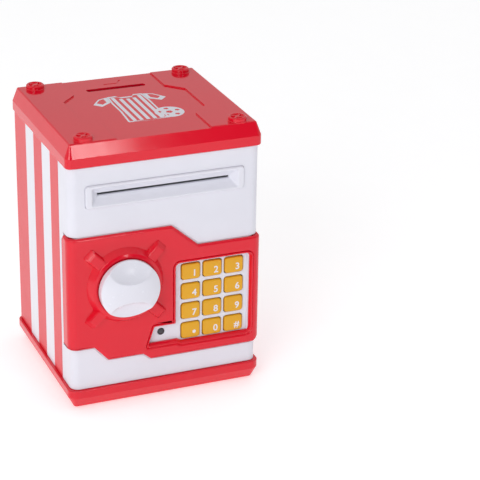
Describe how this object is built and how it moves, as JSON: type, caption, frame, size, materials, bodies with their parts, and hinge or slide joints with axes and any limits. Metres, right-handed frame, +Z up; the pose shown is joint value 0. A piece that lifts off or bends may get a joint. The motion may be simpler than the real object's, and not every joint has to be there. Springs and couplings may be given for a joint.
{
  "type": "toy safe coin bank",
  "caption": "Toy safe for savings: striped case, lid with a coin slot, powered note slot, and a hinged door with a keypad and a turning knob that throws a bolt.",
  "frame": {"origin": "on the floor, under the middle of the object's whole box, knob included", "axes": "+X to the right and +Y away from someone who faces the door, +Z up"},
  "size_m": [0.1366, 0.142, 0.192],
  "materials": {
    "red_shell": "glossy saturated red moulding",
    "striped_shell": "glossy red moulding with broad upright white printed stripes",
    "white_plastic": "cool white semi-gloss moulding",
    "key_amber": "amber yellow keys with white figures",
    "led_lens": "smoky grey lens",
    "inner_plastic": "plain grey moulding",
    "black_rubber": "soft black rubber",
    "steel": "zinc plated steel",
    "brass": "plain brass",
    "coil": "taped winding",
    "circuit_board": "green lacquered board",
    "cell_sleeve": "plain sleeved dry cell",
    "speaker_frame": "dark speaker frame"
  },
  "bodies": {
    "casing": {"body_shell": "striped_shell", "front_frame": "white_plastic", "base_tray": "red_shell", "lid": "red_shell", "foot_front_left": "black_rubber", "foot_front_right": "black_rubber", "foot_back_right": "black_rubber", "foot_back_left": "black_rubber", "base_screw_front_left": "steel", "base_screw_front_right": "steel", "base_screw_back_right": "steel", "base_screw_back_left": "steel", "hinge_pin_lower": "steel", "hinge_pin_upper": "steel", "feeder_frame": "inner_plastic", "note_guide_upper": "inner_plastic", "motor_can": "steel", "battery_1": "cell_sleeve", "battery_2": "cell_sleeve", "battery_3": "cell_sleeve", "battery_contact_left": "steel", "battery_contact_right": "steel", "battery_cover": "red_shell", "battery_cover_screw": "steel", "main_board": "circuit_board", "speaker": "speaker_frame"},
    "door": {"door_panel": "red_shell", "door_liner": "white_plastic", "liner_screw_1": "steel", "liner_screw_2": "steel", "keypad_plate": "white_plastic", "keypad_membrane": "inner_plastic", "keypad_board": "circuit_board", "status_led": "led_lens", "lock_coil": "coil"},
    "knob": {"knob": "white_plastic", "crank_disc": "inner_plastic", "knob_screw": "steel"},
    "bolt": {"latch_bolt": "inner_plastic"},
    "plunger": {"lock_plunger": "steel"},
    "feed_shaft": {"drive_shaft": "steel", "drive_roller_left": "black_rubber", "drive_roller_right": "black_rubber", "drive_gear": "inner_plastic"},
    "idler": {"idler_shaft": "steel", "idler_roller_left": "black_rubber", "idler_roller_right": "black_rubber"},
    "pinion": {"motor_pinion": "brass"},
    "key_1": {"key_1": "key_amber"},
    "key_2": {"key_2": "key_amber"},
    "key_3": {"key_3": "key_amber"},
    "key_4": {"key_4": "key_amber"},
    "key_5": {"key_5": "key_amber"},
    "key_6": {"key_6": "key_amber"},
    "key_7": {"key_7": "key_amber"},
    "key_8": {"key_8": "key_amber"},
    "key_9": {"key_9": "key_amber"},
    "key_star": {"key_star": "key_amber"},
    "key_0": {"key_0": "key_amber"},
    "key_hash": {"key_hash": "key_amber"}
  },
  "joints": [
    {"name": "door_hinge", "type": "hinge", "parent": "casing", "child": "door", "pos_m": [0.0658, -0.0428, 0.077], "axis": [0, 0, 1], "range_deg": [0, 105]},
    {"name": "knob_turn", "type": "hinge", "parent": "door", "child": "knob", "pos_m": [-0.029, -0.06, 0.088], "axis": [0, 1, 0], "range_deg": [-90, 0]},
    {"name": "bolt_slide", "type": "slide", "parent": "door", "child": "bolt", "axis": [1, 0, 0], "range_m": [-0.00594, 0]},
    {"name": "plunger_slide", "type": "slide", "parent": "door", "child": "plunger", "axis": [0, 0, 1], "range_m": [0, 0.004], "stiffness_N_per_m": 40},
    {"name": "feed_turn", "type": "hinge", "parent": "casing", "child": "feed_shaft", "pos_m": [0, -0.034, 0.147], "axis": [1, 0, 0], "continuous": true},
    {"name": "idler_turn", "type": "hinge", "parent": "casing", "child": "idler", "pos_m": [0, -0.034, 0.1573], "axis": [1, 0, 0], "continuous": true},
    {"name": "pinion_turn", "type": "hinge", "parent": "casing", "child": "pinion", "pos_m": [0.05, -0.02525, 0.13657], "axis": [1, 0, 0], "continuous": true},
    {"name": "key_1_press", "type": "slide", "parent": "door", "child": "key_1", "axis": [0, 1, 0], "range_m": [0, 0.001], "stiffness_N_per_m": 200},
    {"name": "key_2_press", "type": "slide", "parent": "door", "child": "key_2", "axis": [0, 1, 0], "range_m": [0, 0.001], "stiffness_N_per_m": 200},
    {"name": "key_3_press", "type": "slide", "parent": "door", "child": "key_3", "axis": [0, 1, 0], "range_m": [0, 0.001], "stiffness_N_per_m": 200},
    {"name": "key_4_press", "type": "slide", "parent": "door", "child": "key_4", "axis": [0, 1, 0], "range_m": [0, 0.001], "stiffness_N_per_m": 200},
    {"name": "key_5_press", "type": "slide", "parent": "door", "child": "key_5", "axis": [0, 1, 0], "range_m": [0, 0.001], "stiffness_N_per_m": 200},
    {"name": "key_6_press", "type": "slide", "parent": "door", "child": "key_6", "axis": [0, 1, 0], "range_m": [0, 0.001], "stiffness_N_per_m": 200},
    {"name": "key_7_press", "type": "slide", "parent": "door", "child": "key_7", "axis": [0, 1, 0], "range_m": [0, 0.001], "stiffness_N_per_m": 200},
    {"name": "key_8_press", "type": "slide", "parent": "door", "child": "key_8", "axis": [0, 1, 0], "range_m": [0, 0.001], "stiffness_N_per_m": 200},
    {"name": "key_9_press", "type": "slide", "parent": "door", "child": "key_9", "axis": [0, 1, 0], "range_m": [0, 0.001], "stiffness_N_per_m": 200},
    {"name": "key_star_press", "type": "slide", "parent": "door", "child": "key_star", "axis": [0, 1, 0], "range_m": [0, 0.001], "stiffness_N_per_m": 200},
    {"name": "key_0_press", "type": "slide", "parent": "door", "child": "key_0", "axis": [0, 1, 0], "range_m": [0, 0.001], "stiffness_N_per_m": 200},
    {"name": "key_hash_press", "type": "slide", "parent": "door", "child": "key_hash", "axis": [0, 1, 0], "range_m": [0, 0.001], "stiffness_N_per_m": 200}
  ],
  "couplings": [
    {"joint": "bolt_slide", "follows": "knob_turn", "m_per_rad": 0.0037815},
    {"joint": "idler_turn", "follows": "feed_turn", "ratio": -1},
    {"joint": "pinion_turn", "follows": "feed_turn", "ratio": -2}
  ]
}
